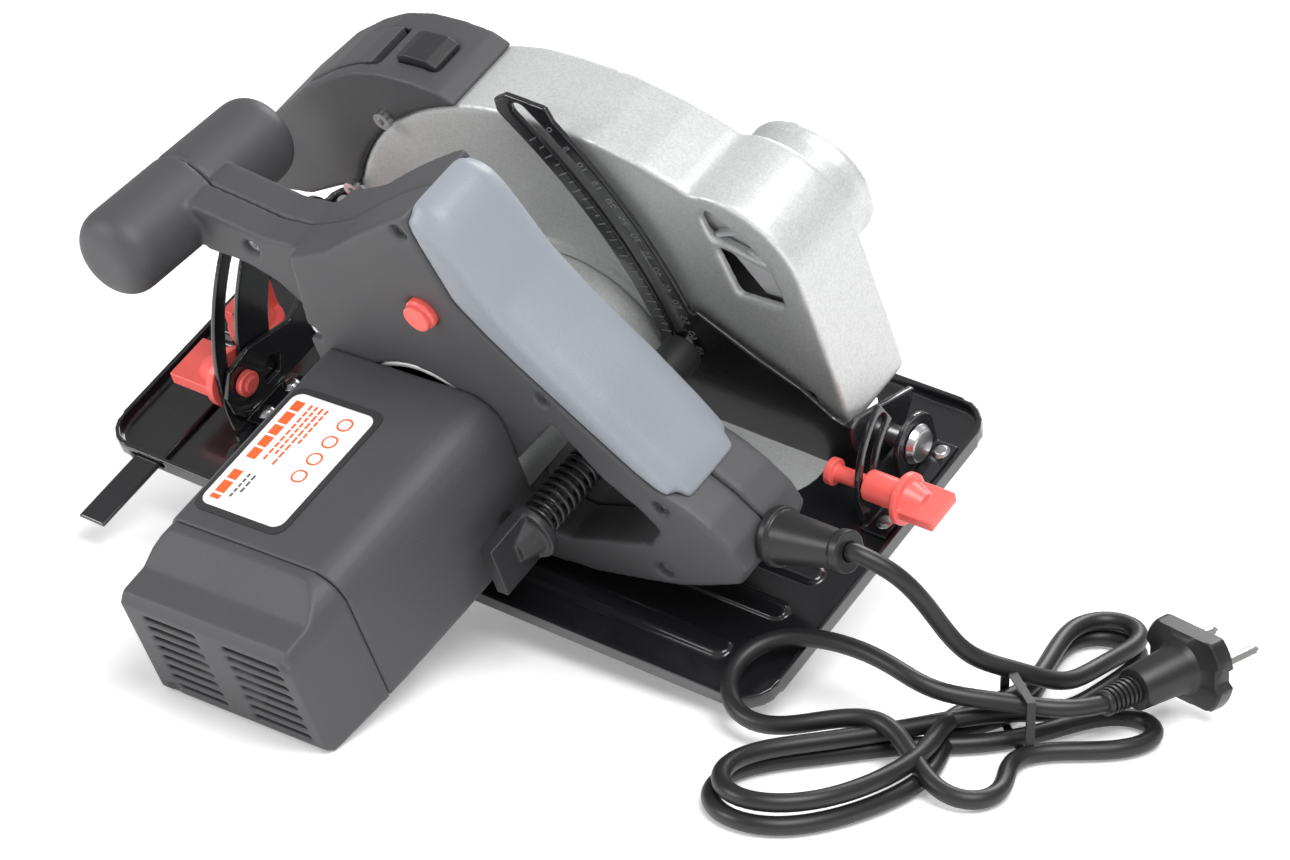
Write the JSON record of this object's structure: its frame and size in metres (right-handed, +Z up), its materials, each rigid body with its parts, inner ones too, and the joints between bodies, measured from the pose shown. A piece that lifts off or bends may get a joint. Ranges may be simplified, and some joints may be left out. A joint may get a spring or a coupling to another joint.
{
  "type": "circular saw",
  "caption": "Hand-held electric circular saw with tilting base plate, swinging depth setting, sprung lower blade guard, front cross handle and mains lead.",
  "frame": {"origin": "on the bench, under the centre of the box of the saw without its free lead", "axes": "+Z up from the bench the saw is put down on; +X towards the front of the saw; +Y towards the motor. The saw leans 25.37 degrees about X towards the motor, so its blade axis lies in the YZ plane."},
  "size_m": [0.4201, 0.2747, 0.1959],
  "materials": {
    "enamel": "gloss black enamel",
    "red_plastic": "satin red moulded plastic",
    "cast_alloy": "fine sparkle silver cast alloy",
    "steel": "bright zinc steel",
    "blade_steel": "ground steel",
    "housing_plastic": "fine-textured dark grey plastic",
    "black_plastic": "satin black plastic",
    "spring_black": "black spring steel",
    "label": "white film label",
    "brass": "brass",
    "copper": "copper",
    "grip_rubber": "satin grey-blue soft grip",
    "lead_rubber": "satin black rubber",
    "pin_nickel": "nickel-plated"
  },
  "bodies": {
    "base": {"base_plate": "enamel", "front_quadrant": "enamel", "rear_bevel_ear": "enamel", "front_pivot_tab": "enamel", "base_rivets": "steel"},
    "fence": {"rip_fence": "enamel"},
    "fence_lock": {"fence_knob": "red_plastic"},
    "bevel_frame": {"front_bevel_bracket": "enamel", "rear_bevel_bracket": "enamel", "bevel_pivot_rivets": "steel", "depth_pivot_pin": "steel"},
    "front_bevel_lock": {"front_bevel_knob": "red_plastic"},
    "rear_bevel_lock": {"rear_bevel_knob": "red_plastic"},
    "saw_body": {"upper_guard": "cast_alloy", "laser_cover": "housing_plastic", "laser_battery_cover": "housing_plastic", "laser_module": "brass", "guard_screws": "steel", "gear_case": "cast_alloy", "motor_housing": "housing_plastic", "motor_end_cap": "housing_plastic", "rating_plate": "label", "stator": "steel", "carbon_brushes": "black_plastic", "brush_holders": "brass", "armature_bearings": "steel", "spindle_bearings": "steel", "guard_spring": "steel", "left_handle_shell": "housing_plastic", "right_handle_shell": "housing_plastic", "soft_grip": "grip_rubber", "handle_screws": "steel", "trigger_pin": "steel", "switch_module": "black_plastic", "depth_bolt": "steel", "depth_sleeve": "black_plastic", "depth_spring": "spring_black", "cord_gland": "lead_rubber", "cord_tube": "lead_rubber", "cord_loop": "lead_rubber", "cord_bundle": "lead_rubber", "cord_tie": "lead_rubber", "plug_body": "lead_rubber", "plug_pins": "pin_nickel"},
    "arbor": {"spindle": "steel", "drive_gear": "steel", "inner_flange": "steel", "outer_flange": "steel", "blade_bolt": "blade_steel", "saw_blade": "blade_steel"},
    "rotor": {"armature": "copper", "commutator": "copper", "cooling_fan": "black_plastic"},
    "moving_guard": {"lower_guard": "cast_alloy", "guard_lever": "black_plastic"},
    "arbor_lock": {"spindle_lock": "black_plastic"},
    "trigger": {"trigger": "black_plastic"},
    "lock_off": {"lock_off_button": "red_plastic"},
    "laser_switch": {"laser_button": "black_plastic"},
    "depth_lock": {"depth_knob": "black_plastic"}
  },
  "joints": [
    {"name": "fence_slide", "type": "slide", "parent": "base", "child": "fence", "axis": [0, -0.9036, 0.4285], "range_m": [0, 0.06]},
    {"name": "fence_lock_turn", "type": "hinge", "parent": "base", "child": "fence_lock", "pos_m": [0.13792, -0.0353, 0.05925], "axis": [-0.0739, 0.4273, 0.9011], "range_deg": [-90, 180]},
    {"name": "bevel_tilt", "type": "hinge", "parent": "base", "child": "bevel_frame", "pos_m": [0.01097, -0.08415, 0.07644], "axis": [0.9973, 0.0317, 0.0668], "range_deg": [0, 45]},
    {"name": "front_bevel_lock_turn", "type": "hinge", "parent": "bevel_frame", "child": "front_bevel_lock", "pos_m": [0.1159, 0.00082, 0.05639], "axis": [0.9973, 0.0317, 0.0668], "range_deg": [-90, 180]},
    {"name": "rear_bevel_lock_turn", "type": "hinge", "parent": "bevel_frame", "child": "rear_bevel_lock", "pos_m": [-0.12918, -0.06014, 0.06145], "axis": [-0.9973, -0.0317, -0.0668], "range_deg": [-90, 180]},
    {"name": "depth_swing", "type": "hinge", "parent": "bevel_frame", "child": "saw_body", "pos_m": [0.13448, -0.07394, 0.08396], "axis": [0, 0.9036, -0.4285], "range_deg": [0, 31]},
    {"name": "blade_spin", "type": "hinge", "parent": "saw_body", "child": "arbor", "pos_m": [-0.00032, -0.08041, 0.09366], "axis": [0, 0.9036, -0.4285], "continuous": true},
    {"name": "motor_spin", "type": "hinge", "parent": "saw_body", "child": "rotor", "pos_m": [-0.00252, 0.0417, 0.06177], "axis": [0, 0.9036, -0.4285], "continuous": true},
    {"name": "guard_swing", "type": "hinge", "parent": "saw_body", "child": "moving_guard", "pos_m": [-0.00032, -0.07137, 0.08938], "axis": [0, 0.9036, -0.4285], "range_deg": [0, 120], "stiffness_Nm_per_rad": 0.15, "springref_deg": -68.75},
    {"name": "arbor_lock_push", "type": "slide", "parent": "saw_body", "child": "arbor_lock", "axis": [-1, 0, 0], "range_m": [0, 0.003], "stiffness_N_per_m": 600, "springref_m": -0.002},
    {"name": "trigger_squeeze", "type": "hinge", "parent": "saw_body", "child": "trigger", "pos_m": [-0.05552, 0.01853, 0.11093], "axis": [0, 0.9036, -0.4285], "range_deg": [0, 9], "stiffness_Nm_per_rad": 0.8, "springref_deg": -8.59},
    {"name": "lock_off_push", "type": "slide", "parent": "saw_body", "child": "lock_off", "axis": [0, -0.9036, 0.4285], "range_m": [0, 0.003], "stiffness_N_per_m": 500, "springref_m": -0.002},
    {"name": "laser_switch_push", "type": "slide", "parent": "saw_body", "child": "laser_switch", "axis": [0, -0.4285, -0.9036], "range_m": [0, 0.0012], "stiffness_N_per_m": 800, "springref_m": -0.001},
    {"name": "depth_lock_turn", "type": "hinge", "parent": "saw_body", "child": "depth_lock", "pos_m": [-0.05022, 0.03648, 0.05074], "axis": [0, 0.9036, -0.4285], "range_deg": [-90, 180]}
  ],
  "couplings": [
    {"joint": "motor_spin", "follows": "blade_spin", "ratio": -4}
  ]
}
